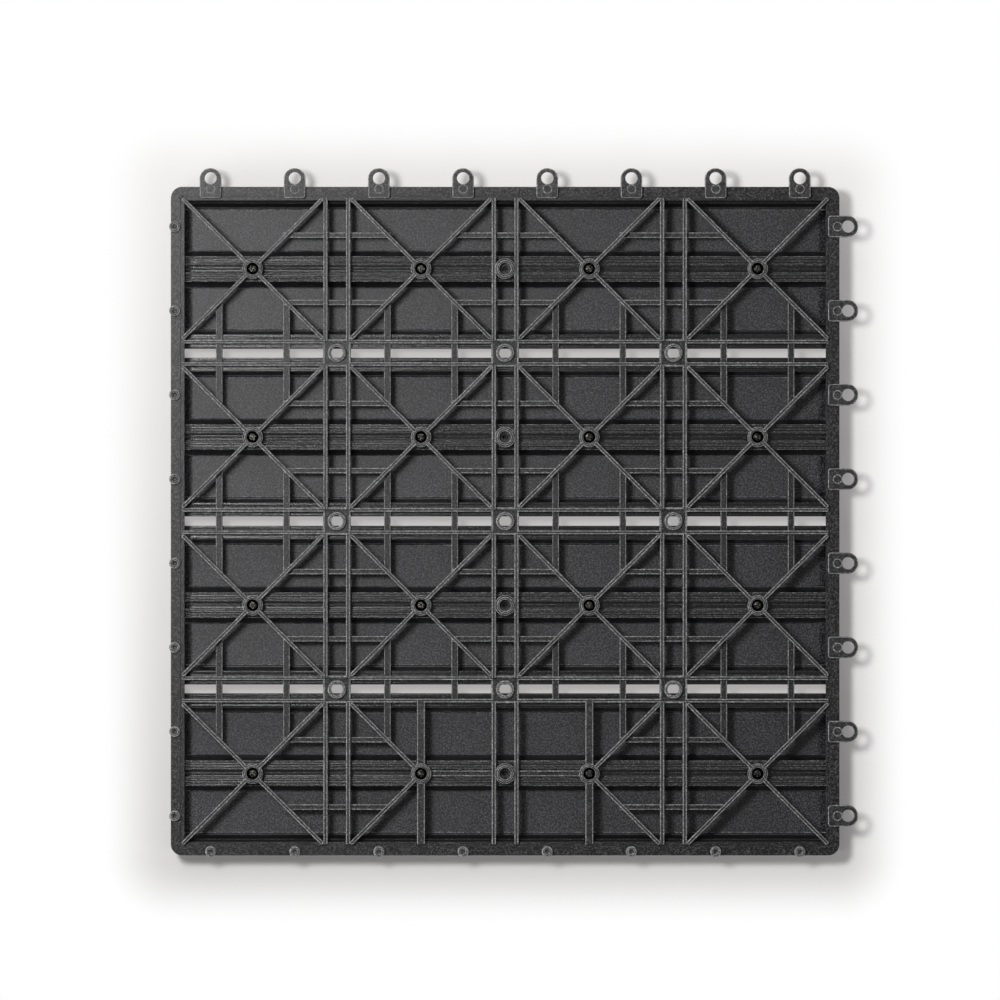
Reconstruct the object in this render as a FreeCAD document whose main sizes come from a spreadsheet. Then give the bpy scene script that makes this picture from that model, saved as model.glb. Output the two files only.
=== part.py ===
import FreeCAD, Part

import math
import os

import Sketcher

# Interlocking deck tile, lying face down: four extruded slats under one moulded base grid, held by
# screws. X runs along the slats, +Y is the side with the upper row of loops, +Z points out of the
# underside. The slats' walking faces lie on Z = 0.

# Driving dimensions, in millimetres

SIZES = {
    # Layout of the tile
    "bay_pitch": 75.0,
    "joint_gap": 2.0,
    # Slats
    "slat_gap": 4.2,
    "slat_length": 295.0,
    "slat_height": 15.0,
    "deck_thickness": 5.0,
    "foot_width": 11.4,
    "foot_groove_width": 3.2,
    "foot_groove_depth": 1.2,
    "leg_width": 6.1,
    "wall_run": 2.35,
    "slat_edge_radius": 1.2,
    # Rim of the base grid
    "rim_width": 6.0,
    "rim_height": 4.0,
    "rim_corner_radius": 5.0,
    "ledge_width": 1.8,
    "ledge_drop": 0.4,
    "ledge_corner_radius": 2.0,
    # Flat bars, a square of them round each drain boss
    "bar_square": 45.0,
    "upright_bar_width": 2.9,
    "level_bar_width": 2.4,
    "bar_height": 2.5,
    "bar_edge": 0.65,
    "bar_dish": 0.3,
    # How far a rib runs into the boss or plate that it meets
    "rib_bite": 0.8,
    # Double ribs, from rim to rim
    "level_rib_width": 1.6,
    "level_rib_spread": 10.0,
    "level_rib_height": 5.0,
    "upright_rib_width": 1.9,
    "upright_rib_spread": 10.1,
    "upright_rib_height": 6.0,
    # Diagonal ribs round each screw boss
    "diagonal_width": 1.7,
    "diagonal_height": 7.0,
    "diagonal_reach": 31.3,
    "diagonal_tip": 0.5,
    # Stays and tie bar of the middle bay at the lower rim
    "stay_width": 3.5,
    "stay_height": 6.0,
    "stay_edge": 0.7,
    "stay_dish": 0.4,
    "tie_width": 2.6,
    # Drain bosses
    "plate_size": 12.4,
    "plate_height": 3.5,
    "plate_corner_radius": 1.5,
    "drain_ring_diameter": 8.2,
    "drain_ring_height": 6.0,
    "drain_hole_diameter": 5.2,
    # Screw bosses and blank bosses
    "boss_diameter": 9.1,
    "boss_height": 7.0,
    "boss_collar_diameter": 7.3,
    "boss_step": 0.4,
    "boss_floor": 2.5,
    "blank_boss_diameter": 9.2,
    "blank_bore_diameter": 5.2,
    "blank_hole_diameter": 2.8,
    # Loops on the upper and right rims
    "loop_width": 9.6,
    "loop_reach": 8.2,
    "loop_overlap": 5.2,
    "loop_thickness": 3.0,
    "loop_tip_radius": 4.6,
    "loop_corner_radius": 1.3,
    "loop_hole_diameter": 5.4,
    "loop_mark_diameter": 4.2,
    "loop_mark_width": 0.5,
    "loop_mark_depth": 0.25,
    "loop_mark_inset": 0.9,
    # Pins on the lower and left rims
    "pin_clearance": 0.2,
    "pin_height": 3.0,
    "pin_root": 3.0,
    "pin_root_diameter": 4.6,
    "pin_chamfer": 0.5,
    "pin_dimple_diameter": 2.8,
    "pin_dimple_depth": 0.4,
    "pin_overhang": 0.7,
    "pin_seat_length": 7.0,
    "pin_seat_inset": 1.6,
    "pin_seat_width": 4.4,
    "pin_seat_height": 0.2,
    # Slat screws
    "head_diameter": 5.0,
    "head_height": 1.9,
    "head_clearance": 0.25,
    "shank_diameter": 2.9,
    "shank_clearance": 0.25,
    "pilot_clearance": 0.05,
    "pilot_spare": 0.5,
    "screw_length": 11.0,
    "screw_point": 2.5,
    "cross_span": 3.0,
    "cross_width": 0.8,
    "cross_depth": 1.1,
}

BAYS = 4
MIDDLE = BAYS // 2 - 1
LOOPS = 2 * BAYS
COS_45 = math.sqrt(0.5)
PARTS_FOLDER = "parts"


class Length:
    """A length in millimetres together with the sheet formula that gives it."""

    def __init__(self, value, formula):
        self.value = value
        self.formula = formula

    def __add__(self, other):
        other = as_length(other)
        return Length(self.value + other.value, f"({self.formula} + {other.formula})")

    def __sub__(self, other):
        other = as_length(other)
        return Length(self.value - other.value, f"({self.formula} - {other.formula})")

    def __mul__(self, factor):
        return Length(self.value * factor, f"({self.formula} * {factor!r})")

    def __truediv__(self, divisor):
        return Length(self.value / divisor, f"({self.formula} / {divisor!r})")

    def __neg__(self):
        return Length(-self.value, f"(0 - {self.formula})")


def as_length(item):
    """Take a plain number as a length."""
    if isinstance(item, Length):
        return item
    return Length(float(item), repr(float(item)))


def size(alias):
    """The driving dimension of that name."""
    return Length(SIZES[alias], f"Sizes.{alias}")


# Document and sheet

doc = FreeCAD.newDocument("deck_tile")
sheet = doc.addObject("Spreadsheet::Sheet", "Sizes")
for line, (alias, number) in enumerate(SIZES.items(), start=1):
    sheet.set(f"A{line}", alias.replace("_", " "))
    sheet.set(f"B{line}", str(number))
    sheet.setAlias(f"B{line}", alias)
doc.recompute()

# Sizes that several pieces share

ZERO = as_length(0.0)
bay = size("bay_pitch")
half_bay = bay / 2
outer_half = (bay * BAYS - size("joint_gap")) / 2
opening_half = outer_half - size("rim_width")
foot_plane = size("slat_height")
rim_face = foot_plane + size("rim_height")
boss_face = foot_plane + size("boss_height")
screw_seat = foot_plane + size("boss_floor")
first_column = -(bay * (BAYS / 2 - 1))
first_boss = -(bay * (BAYS / 2)) + half_bay
first_loop = -(bay * (BAYS / 2)) + half_bay / 2
pin_diameter = size("loop_hole_diameter") - size("pin_clearance") * 2
pin_centre = outer_half + size("pin_overhang") - pin_diameter / 2
loop_hole_out = size("joint_gap") + pin_diameter / 2 - size("pin_overhang")
slat_half = (bay - size("slat_gap")) / 2
tile_shift = (size("loop_reach") - size("pin_overhang")) / 2


# Helpers for bodies, sketches and features


def new_body(label, along_y=ZERO):
    """A body whose own origin is the tile's centre, or a slat's centre line."""
    body = doc.addObject("PartDesign::Body", label)
    body.Label = label
    body.AllowCompound = True
    body.setExpression("Placement.Base.x", (-tile_shift).formula)
    body.setExpression("Placement.Base.y", (along_y - tile_shift).formula)
    return body


def origin_item(body, role):
    """One of the body's own origin planes or axes."""
    return next(item for item in body.Origin.OriginFeatures if item.Role == role)


def new_sketch(body, name, level=ZERO, plane="XY_Plane"):
    """A sketch parallel to an origin plane, at a level along its normal."""
    sketch = body.newObject("Sketcher::SketchObject", f"{body.Label}_{name}_sketch")
    sketch.AttachmentSupport = [(origin_item(body, plane), "")]
    sketch.MapMode = "FlatFace"
    sketch.setExpression("AttachmentOffset.Base.z", level.formula)
    return sketch


def constrain(sketch, name, length, kind, *items):
    """Add a named dimension that follows its formula."""
    index = sketch.addConstraint(Sketcher.Constraint(kind, *items, length.value))
    sketch.renameConstraint(index, name)
    sketch.setExpression(f"Constraints.{name}", length.formula)


def pin_point(sketch, name, geometry, position, x, y):
    """Hold one point of the sketch at a place measured from its origin."""
    constrain(sketch, f"{name}_x", x, "DistanceX", -1, 1, geometry, position)
    constrain(sketch, f"{name}_y", y, "DistanceY", -1, 1, geometry, position)


def add_circle(sketch, name, x, y, diameter):
    """A full circle held by its centre and diameter."""
    centre = FreeCAD.Vector(x.value, y.value, 0)
    circle = Part.Circle(centre, FreeCAD.Vector(0, 0, 1), diameter.value / 2)
    index = sketch.addGeometry(circle, False)
    pin_point(sketch, name, index, 3, x, y)
    constrain(sketch, f"{name}_d", diameter, "Diameter", index)


def add_outline(sketch, name, corners, radii=None):
    """A closed outline, anticlockwise, with a radius at the corners that radii names."""
    radii = radii or {}
    points = [FreeCAD.Vector(x.value, y.value, 0) for x, y in corners]
    count = len(points)
    arrive, leave, turns = [], [], []
    for index, point in enumerate(points):
        inward = (point - points[index - 1]).normalize()
        outward = (points[(index + 1) % count] - point).normalize()
        left_turn = inward.cross(outward).z > 0
        trim = 0.0
        if index in radii:
            trim = radii[index].value * math.tan(inward.getAngle(outward) / 2)
        arrive.append(point - inward * trim)
        leave.append(point + outward * trim)
        turns.append((inward, left_turn))
    lines = []
    for index in range(count):
        segment = Part.LineSegment(leave[index], arrive[(index + 1) % count])
        lines.append(sketch.addGeometry(segment, False))
    for index, (x, y) in enumerate(corners):
        before, after = lines[index - 1], lines[index]
        corner = f"{name}_{index}"
        if index not in radii:
            sketch.addConstraint(Sketcher.Constraint("Coincident", before, 2, after, 1))
            pin_point(sketch, corner, after, 1, x, y)
            continue
        arc = add_corner_arc(sketch, arrive[index], leave[index], radii[index], turns[index])
        start, end = (1, 2) if turns[index][1] else (2, 1)
        mark = sketch.addGeometry(Part.Point(points[index]), True)
        pin_point(sketch, corner, mark, 1, x, y)
        sketch.addConstraint(Sketcher.Constraint("PointOnObject", mark, 1, before))
        sketch.addConstraint(Sketcher.Constraint("PointOnObject", mark, 1, after))
        sketch.addConstraint(Sketcher.Constraint("Tangent", before, 2, arc, start))
        sketch.addConstraint(Sketcher.Constraint("Tangent", arc, end, after, 1))
        constrain(sketch, f"{corner}_r", radii[index], "Radius", arc)


def add_corner_arc(sketch, arrive, leave, radius, turn):
    """The arc of a rounded corner, from where one line arrives to where the next leaves."""
    inward, left_turn = turn
    side = FreeCAD.Vector(-inward.y, inward.x, 0) * (1 if left_turn else -1)
    centre = arrive + side * radius.value
    circle = Part.Circle(centre, FreeCAD.Vector(0, 0, 1), radius.value)
    first, last = (arrive, leave) if left_turn else (leave, arrive)
    start = math.atan2(first.y - centre.y, first.x - centre.x)
    end = math.atan2(last.y - centre.y, last.x - centre.x)
    if end < start:
        end += 2 * math.pi
    return sketch.addGeometry(Part.ArcOfCircle(circle, start, end), False)


def add_rectangle(sketch, name, x_range, y_range, radius=None):
    """A rectangle between two X and two Y values, with equal corner radii if one is given."""
    (left, right), (low, high) = x_range, y_range
    corners = [(left, low), (right, low), (right, high), (left, high)]
    radii = {index: radius for index in range(4)} if radius else None
    add_outline(sketch, name, corners, radii)


def about(centre, width):
    """The two limits of a width about a centre."""
    return centre - width / 2, centre + width / 2


def pad(body, sketch, height):
    """Raise a sketch's outlines along its normal."""
    feature = body.newObject("PartDesign::Pad", sketch.Name.replace("_sketch", ""))
    feature.Profile = (sketch, [""])
    feature.setExpression("Length", height.formula)
    body.Tip = feature
    return feature


def pocket(body, sketch, depth):
    """Cut a sketch's outlines down against its normal."""
    feature = body.newObject("PartDesign::Pocket", sketch.Name.replace("_sketch", ""))
    feature.Profile = (sketch, [""])
    feature.setExpression("Length", depth.formula)
    body.Tip = feature
    return feature


def repeat(body, name, originals, columns=1, column_step=ZERO, rows=1, row_step=ZERO):
    """Repeat features along X, along Y, or over a grid."""
    pattern = body.newObject("PartDesign::LinearPattern", f"{body.Label}_{name}_pattern")
    pattern.Originals = originals
    directions = [("X_Axis", columns, column_step), ("Y_Axis", rows, row_step)]
    used = [item for item in directions if item[1] > 1]
    for ending, (role, count, step) in zip(("", "2"), used):
        setattr(pattern, f"Direction{ending}", (origin_item(body, role), [""]))
        setattr(pattern, f"Mode{ending}", "Extent")
        setattr(pattern, f"Occurrences{ending}", count)
        pattern.setExpression(f"Length{ending}", (step * (count - 1)).formula)
    body.Tip = pattern
    return pattern


# Slats


def slat_profile(sketch):
    """Section of a slat: a deck on two edge legs and a grooved foot, open towards the base."""
    top = foot_plane
    deck = size("deck_thickness")
    foot = size("foot_width") / 2
    groove = size("foot_groove_width") / 2
    groove_floor = top - size("foot_groove_depth")
    leg = slat_half - size("leg_width")
    run = size("wall_run")
    right_side = [
        (slat_half, ZERO),
        (slat_half, top),
        (leg, top),
        (leg - run, deck),
        (foot + run, deck),
        (foot, top),
        (groove, top),
        (groove, groove_floor),
    ]
    left_side = [(-across, up) for across, up in reversed(right_side)]
    corners = right_side + left_side
    edge = size("slat_edge_radius")
    add_outline(sketch, "section", corners, {0: edge, len(corners) - 1: edge})


def build_slat(label, along_y):
    """One slat with a pilot hole under each screw boss."""
    slat = new_body(label, along_y)
    section = new_sketch(slat, "section", -size("slat_length") / 2, "YZ_Plane")
    slat_profile(section)
    pad(slat, section, size("slat_length"))
    pilot = new_sketch(slat, "pilot", foot_plane)
    add_circle(pilot, "pilot", first_boss, ZERO, size("shank_diameter") + size("pilot_clearance") * 2)
    depth = size("screw_length") - size("boss_floor") + size("pilot_spare")
    drilled = pocket(slat, pilot, depth)
    repeat(slat, "pilots", [drilled], BAYS, bay)
    return slat


# Base grid, built of plain solids that are joined at the end


def add_solid(kind, name, **formulas):
    """A primitive whose sizes and place follow their formulas."""
    solid = doc.addObject(f"Part::{kind}", name)
    for key, length in formulas.items():
        solid.setExpression(key.replace("_", "."), length.formula)
    return solid


def add_box(name, x_range, y_range, bottom, height):
    """An upright box between two X and two Y values."""
    (left, right), (low, high) = x_range, y_range
    return add_solid(
        "Box",
        name,
        Length=right - left,
        Width=high - low,
        Height=height,
        Placement_Base_x=left,
        Placement_Base_y=low,
        Placement_Base_z=bottom,
    )


def add_cylinder(name, diameter, bottom, height):
    """An upright cylinder on its own Z axis."""
    return add_solid(
        "Cylinder",
        name,
        Radius=diameter / 2,
        Height=height,
        Placement_Base_z=bottom,
    )


def add_cone(name, diameter, tip_diameter, bottom, height):
    """An upright cone frustum on its own Z axis."""
    return add_solid(
        "Cone",
        name,
        Radius1=diameter / 2,
        Radius2=tip_diameter / 2,
        Height=height,
        Placement_Base_z=bottom,
    )


def plan_sketch(name, level):
    """A level sketch that belongs to no body."""
    sketch = doc.addObject("Sketcher::SketchObject", f"{name}_sketch")
    sketch.setExpression("Placement.Base.z", level.formula)
    return sketch


def extrude(sketch, height):
    """Raise a sketch's outlines along its normal."""
    solid = doc.addObject("Part::Extrusion", sketch.Name.replace("_sketch", ""))
    solid.Base = sketch
    solid.DirMode = "Normal"
    solid.Solid = True
    solid.setExpression("LengthFwd", height.formula)
    return solid


def join(name, solids):
    """Fuse solids into one."""
    joined = doc.addObject("Part::MultiFuse", name)
    joined.Shapes = solids
    joined.Refine = False
    return joined


def remove(name, solid, tool):
    """Cut one solid out of another."""
    result = doc.addObject("Part::Cut", name)
    result.Base = solid
    result.Tool = tool
    result.Refine = False
    return result


def place(master, name, x, y, quarter_turns=0.0):
    """A linked copy of a master, moved and turned about Z."""
    copy = doc.addObject("App::Link", name)
    copy.LinkedObject = master
    copy.Placement.Rotation = FreeCAD.Rotation(FreeCAD.Vector(0, 0, 1), 90.0 * quarter_turns)
    copy.setExpression("Placement.Base.x", x.formula)
    copy.setExpression("Placement.Base.y", y.formula)
    return copy


def line_of(index):
    """A row or column of drain bosses."""
    return first_column + bay * index


def boss_line(index):
    """A row or column of screw bosses."""
    return first_boss + bay * index


def build_rim():
    """The frame with its stepped inner edge."""
    frame = plan_sketch("rim", foot_plane)
    outer = about(ZERO, outer_half * 2)
    inner = about(ZERO, opening_half * 2)
    edge = about(ZERO, (opening_half + size("ledge_width")) * 2)
    add_rectangle(frame, "outer", outer, outer, size("rim_corner_radius"))
    add_rectangle(frame, "inner", edge, edge, size("ledge_corner_radius"))
    ledge = plan_sketch("ledge", foot_plane)
    add_rectangle(ledge, "outer", edge, edge, size("ledge_corner_radius"))
    add_rectangle(ledge, "inner", inner, inner)
    return [
        extrude(frame, size("rim_height")),
        extrude(ledge, size("rim_height") - size("ledge_drop")),
    ]


def dished_bar(name, x, y_range, width, height, edge, dish):
    """A bar along Y with a shallow channel in its face."""
    low, high = y_range
    half = width / 2
    hollow = half - edge
    section = doc.addObject("Sketcher::SketchObject", f"{name}_sketch")
    section.Placement.Rotation = FreeCAD.Rotation(FreeCAD.Vector(1, 0, 0), 90)
    section.setExpression("Placement.Base.x", x.formula)
    section.setExpression("Placement.Base.y", high.formula)
    section.setExpression("Placement.Base.z", foot_plane.formula)
    corners = [
        (-half, ZERO),
        (half, ZERO),
        (half, height),
        (hollow, height),
        (hollow, height - dish),
        (-hollow, height - dish),
        (-hollow, height),
        (-half, height),
    ]
    add_outline(section, "section", corners)
    return extrude(section, high - low)


def upright_bar(name, x, y_range):
    """One dished flat bar along Y."""
    width, height = size("upright_bar_width"), size("bar_height")
    return dished_bar(name, x, y_range, width, height, size("bar_edge"), size("bar_dish"))


def level_bar(name, x, y):
    """One plain flat bar along X, the side of a bar square."""
    reach = size("bar_square") + size("upright_bar_width")
    return add_box(name, about(x, reach), about(y, size("level_bar_width")), foot_plane, size("bar_height"))


def build_flat_bars():
    """The squares of flat bars round the drain bosses and the half squares at the rims."""
    half = size("bar_square") / 2
    edge = bay * (BAYS / 2) - half
    bars = []
    for row in range(BAYS - 1):
        for column in range(BAYS - 1):
            x, y = line_of(column), line_of(row)
            in_middle_bay = row == 0 and column == MIDDLE
            low = y - size("level_rib_spread") / 2 if in_middle_bay else y - half
            for side in (-1, 1):
                bars.append(upright_bar(f"bar_u{row}{column}{side + 1}", x + half * side, (low, y + half)))
                if side == 1 or not in_middle_bay:
                    bars.append(level_bar(f"bar_l{row}{column}{side + 1}", x, y + half * side))
    for index in range(BAYS - 1):
        along = line_of(index)
        bars.append(level_bar(f"top_bar_{index}", along, edge))
        if index != MIDDLE:
            bars.append(level_bar(f"low_bar_{index}", along, -edge))
        for side in (-1, 1):
            bars.append(upright_bar(f"side_bar_{index}{side + 1}", edge * side, about(along, half * 2)))
    return bars


def build_middle_bay():
    """Stays and a tie bar in the bay at the lower rim that has no diagonals."""
    row = first_boss
    rib_line = first_column - size("level_rib_spread") / 2
    rim_line = -opening_half - size("ledge_width") / 2
    wall = boss_wall(size("boss_diameter"))
    blank_wall = boss_wall(size("blank_boss_diameter"))
    pieces = []
    for side in (-1, 1):
        x = half_bay * side
        for name, stretch in (("upper", (row + wall, rib_line)), ("lower", (rim_line, row - wall))):
            pieces.append(
                dished_bar(
                    f"{name}_stay_{side + 1}",
                    x,
                    stretch,
                    size("stay_width"),
                    size("stay_height"),
                    size("stay_edge"),
                    size("stay_dish"),
                )
            )
        ends = (blank_wall, x - wall) if side == 1 else (x + wall, -blank_wall)
        tie = about(row, size("tie_width"))
        pieces.append(add_box(f"tie_{side + 1}", ends, tie, foot_plane, size("bar_height")))
    return pieces


def boss_wall(diameter):
    """How far from a boss's centre a rib starts, just inside its wall."""
    return diameter / 2 - size("rib_bite")


def rib_stretches():
    """Where a rib runs between the rim and the drain plates."""
    rim_line = opening_half + size("ledge_width") / 2
    plate_edge = size("plate_size") / 2 - size("rib_bite")
    stops = [-rim_line]
    for index in range(BAYS - 1):
        stops += [line_of(index) - plate_edge, line_of(index) + plate_edge]
    stops.append(rim_line)
    return [(stops[index], stops[index + 1]) for index in range(0, len(stops), 2)]


def build_double_ribs():
    """Pairs of ribs either side of each row and column of drain bosses."""
    ribs = []
    for index in range(BAYS - 1):
        for side in (-1, 1):
            y = line_of(index) + size("level_rib_spread") / 2 * side
            x = line_of(index) + size("upright_rib_spread") / 2 * side
            level, upright = about(y, size("level_rib_width")), about(x, size("upright_rib_width"))
            for number, stretch in enumerate(rib_stretches()):
                name = f"{index}{side + 1}{number}"
                level_height, upright_height = size("level_rib_height"), size("upright_rib_height")
                ribs.append(add_box(f"level_rib_{name}", stretch, level, foot_plane, level_height))
                ribs.append(add_box(f"upright_rib_{name}", upright, stretch, foot_plane, upright_height))
    return ribs


def build_diagonals():
    """Diagonals round each screw boss, apart from those that would point into the middle bay."""
    half = size("diagonal_width") / 2
    start, tip = boss_wall(size("boss_diameter")), size("diagonal_reach") / COS_45
    plan = plan_sketch("diagonal", foot_plane)
    corners = [(start, -half), (tip, -half), (tip, half), (start, half)]
    blunt = size("diagonal_tip")
    add_outline(plan, "plan", corners, {1: blunt, 2: blunt})
    master = extrude(plan, size("diagonal_height"))
    ribs = []
    for row in range(BAYS):
        for column in range(BAYS):
            for eighth, x_way in ((0.5, 1), (1.5, -1), (2.5, -1), (3.5, 1)):
                towards_middle = x_way * (2 * column - BAYS + 1) < 0
                if row == 0 and 0 < column < BAYS - 1 and towards_middle:
                    continue
                name = f"diagonal_{row}{column}{int(eighth)}"
                ribs.append(place(master, name, boss_line(column), boss_line(row), eighth))
    return ribs


def build_drain_bosses():
    """A rounded plate, a ring and a through hole at each crossing of the double ribs."""
    plan = plan_sketch("drain_plate", foot_plane)
    sides = about(ZERO, size("plate_size"))
    add_rectangle(plan, "plate", sides, sides, size("plate_corner_radius"))
    height = size("drain_ring_height")
    plate = extrude(plan, size("plate_height"))
    ring = add_cylinder("drain_ring", size("drain_ring_diameter"), foot_plane, height)
    hole = add_cylinder("drain_hole", size("drain_hole_diameter"), foot_plane, height)
    master = remove("drain_boss", join("drain_body", [plate, ring]), hole)
    lines = [line_of(index) for index in range(BAYS - 1)]
    return [
        place(master, f"drain_{row}{column}", x, y)
        for row, y in enumerate(lines)
        for column, x in enumerate(lines)
    ]


def boss_master(name, outer, bore, hole):
    """A stepped round boss with a bore down to its floor and a smaller hole through that."""
    height, floor = size("boss_height"), size("boss_floor")
    barrel = add_cylinder(f"{name}_barrel", outer, foot_plane, height - size("boss_step"))
    collar = add_cylinder(f"{name}_collar", size("boss_collar_diameter"), foot_plane, height)
    seat = add_cylinder(f"{name}_seat", bore, screw_seat, height - floor)
    through = add_cylinder(f"{name}_through", hole, foot_plane, floor)
    body = join(f"{name}_body", [barrel, collar])
    return remove(f"{name}_master", body, join(f"{name}_bores", [seat, through]))


def build_bosses():
    """Screw bosses over the slats' feet, and blank bosses between the middle double ribs."""
    bore = size("head_diameter") + size("head_clearance") * 2
    hole = size("shank_diameter") + size("shank_clearance") * 2
    screwed = boss_master("boss", size("boss_diameter"), bore, hole)
    blank_bore, blank_hole = size("blank_bore_diameter"), size("blank_hole_diameter")
    blank = boss_master("blank", size("blank_boss_diameter"), blank_bore, blank_hole)
    bosses = []
    for row in range(BAYS):
        y = boss_line(row)
        bosses.append(place(blank, f"blank_boss_{row}", ZERO, y))
        bosses += [
            place(screwed, f"screw_boss_{row}{column}", boss_line(column), y) for column in range(BAYS)
        ]
    return bosses


def build_loops():
    """Loops that reach over the next tile's rim, along the upper and the right rim."""
    half = size("loop_width") / 2
    plan = plan_sketch("loop_plan", rim_face)
    inner, outer = -size("loop_overlap"), size("loop_reach")
    corners = [(-half, inner), (half, inner), (half, outer), (-half, outer)]
    tip, corner = size("loop_tip_radius"), size("loop_corner_radius")
    add_outline(plan, "plan", corners, {0: corner, 1: corner, 2: tip, 3: tip})
    tab = extrude(plan, size("loop_thickness"))
    marks = plan_sketch("loop_mark", rim_face + size("loop_thickness") - size("loop_mark_depth"))
    mark, inset = size("loop_mark_diameter"), -size("loop_mark_inset")
    add_circle(marks, "outside", ZERO, inset, mark)
    add_circle(marks, "inside", ZERO, inset, mark - size("loop_mark_width") * 2)
    groove = extrude(marks, size("loop_mark_depth"))
    hole = add_cylinder("loop_hole", size("loop_hole_diameter"), rim_face, size("loop_thickness"))
    hole.setExpression("Placement.Base.y", loop_hole_out.formula)
    master = remove("loop", tab, join("loop_cuts", [hole, groove]))
    loops = []
    for index in range(LOOPS):
        along = first_loop + half_bay * index
        loops.append(place(master, f"upper_loop_{index}", along, outer_half))
        loops.append(place(master, f"right_loop_{index}", outer_half, along, -1.0))
    return loops


def build_pins():
    """Pins that stand up into the next tile's loops, along the lower and the left rim."""
    tip = pin_diameter - size("pin_chamfer") * 2
    cone_foot = rim_face + size("pin_height") - size("pin_chamfer")
    shaft_foot = rim_face + size("pin_seat_height")
    root_length = size("pin_root") + size("pin_seat_height")
    root = add_cylinder("pin_root", size("pin_root_diameter"), rim_face - size("pin_root"), root_length)
    shaft = add_cylinder("pin_shaft", pin_diameter, shaft_foot, cone_foot - shaft_foot)
    cone = add_cone("pin_tip", pin_diameter, tip, cone_foot, size("pin_chamfer"))
    dimple_foot = rim_face + size("pin_height") - size("pin_dimple_depth")
    dimple = add_cylinder("pin_dimple", size("pin_dimple_diameter"), dimple_foot, size("pin_dimple_depth"))
    seat = add_box(
        "pin_seat",
        about(ZERO, size("pin_seat_length")),
        (-size("pin_seat_width") + size("pin_seat_inset"), size("pin_seat_inset")),
        rim_face,
        size("pin_seat_height"),
    )
    master = remove("pin", join("pin_body", [root, shaft, cone, seat]), dimple)
    pins = []
    for index in range(LOOPS):
        along = first_loop + half_bay * index
        pins.append(place(master, f"lower_pin_{index}", along, -pin_centre, 2.0))
        pins.append(place(master, f"left_pin_{index}", -pin_centre, along, 1.0))
    return pins


def build_base_grid():
    """The one-piece moulding under the slats."""
    solids = build_rim()
    solids += build_flat_bars()
    solids += build_middle_bay()
    solids += build_double_ribs()
    solids += build_diagonals()
    solids += build_drain_bosses()
    solids += build_bosses()
    solids += build_loops()
    solids += build_pins()
    grid = join("base_grid", solids)
    grid.Refine = True
    grid.setExpression("Placement.Base.x", (-tile_shift).formula)
    grid.setExpression("Placement.Base.y", (-tile_shift).formula)
    return grid


# Slat screws


def build_screws():
    """Pan-head screws, one in each screw boss, with a cross recess."""
    screws = new_body("slat_screws")
    head, shank = size("head_diameter") / 2, size("shank_diameter") / 2
    head_top = screw_seat + size("head_height")
    tip = screw_seat - size("screw_length")
    shoulder = tip + size("screw_point")
    profile = new_sketch(screws, "profile", -first_boss, "XZ_Plane")
    profile.setExpression("AttachmentOffset.Base.x", first_boss.formula)
    corners = [
        (ZERO, tip),
        (shank, shoulder),
        (shank, screw_seat),
        (head, screw_seat),
        (head, head_top),
        (ZERO, head_top),
    ]
    add_outline(profile, "profile", corners, {4: size("head_height") / 2})
    turned = screws.newObject("PartDesign::Revolution", "screw_turned")
    turned.Profile = (profile, [""])
    turned.ReferenceAxis = (profile, ["V_Axis"])
    turned.Angle = 360.0
    screws.Tip = turned
    recess = new_sketch(screws, "recess", head_top)
    add_cross(recess, first_boss, first_boss)
    cross = pocket(screws, recess, size("cross_depth"))
    repeat(screws, "screws", [turned, cross], BAYS, bay, BAYS, bay)
    return screws


def add_cross(sketch, x, y):
    """The outline of a cross recess."""
    far, near = size("cross_span") / 2, size("cross_width") / 2
    quarter = [(far, near), (near, near), (near, far)]
    corners = []
    for turn in range(4):
        for along, across in quarter:
            for _ in range(turn):
                along, across = -across, along
            corners.append((x + along, y + across))
    add_outline(sketch, "cross", corners)


# Build, check and write

pieces = [build_base_grid()]
for number in range(BAYS):
    row = -first_boss - bay * number
    pieces.append(build_slat(f"slat_{number + 1}", row))
pieces.append(build_screws())
doc.recompute()

for item in doc.Objects:
    if "Invalid" in item.State or "Error" in item.State:
        raise RuntimeError(f"{item.Label} could not be built: {item.State}")

os.makedirs(PARTS_FOLDER, exist_ok=True)
for piece in pieces:
    shape = piece.Shape
    if shape.isNull() or not shape.isValid():
        raise RuntimeError(f"{piece.Label} has no valid shape")
    shape.exportStep(f"{PARTS_FOLDER}/{piece.Label}.step")
    box = shape.BoundBox
    limits = f"{box.XMin:.2f} {box.XMax:.2f} {box.YMin:.2f} {box.YMax:.2f} {box.ZMin:.2f} {box.ZMax:.2f}"
    print(f"{piece.Label}: {len(shape.Solids)} solids, {shape.Volume / 1000:.2f} cm3, box {limits}")
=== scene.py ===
"""Interlocking deck tile, lying face down on a pale floor.

The moulded grid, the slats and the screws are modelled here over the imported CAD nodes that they
stand for. Lengths are written in millimetres and turned into metres where a mesh is made.
"""

import logging
import math
from collections.abc import Callable, Iterator, Sequence
from contextlib import contextmanager
from dataclasses import dataclass, field
from enum import Enum

import bmesh
import bpy
from mathutils import Matrix, Vector


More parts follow.
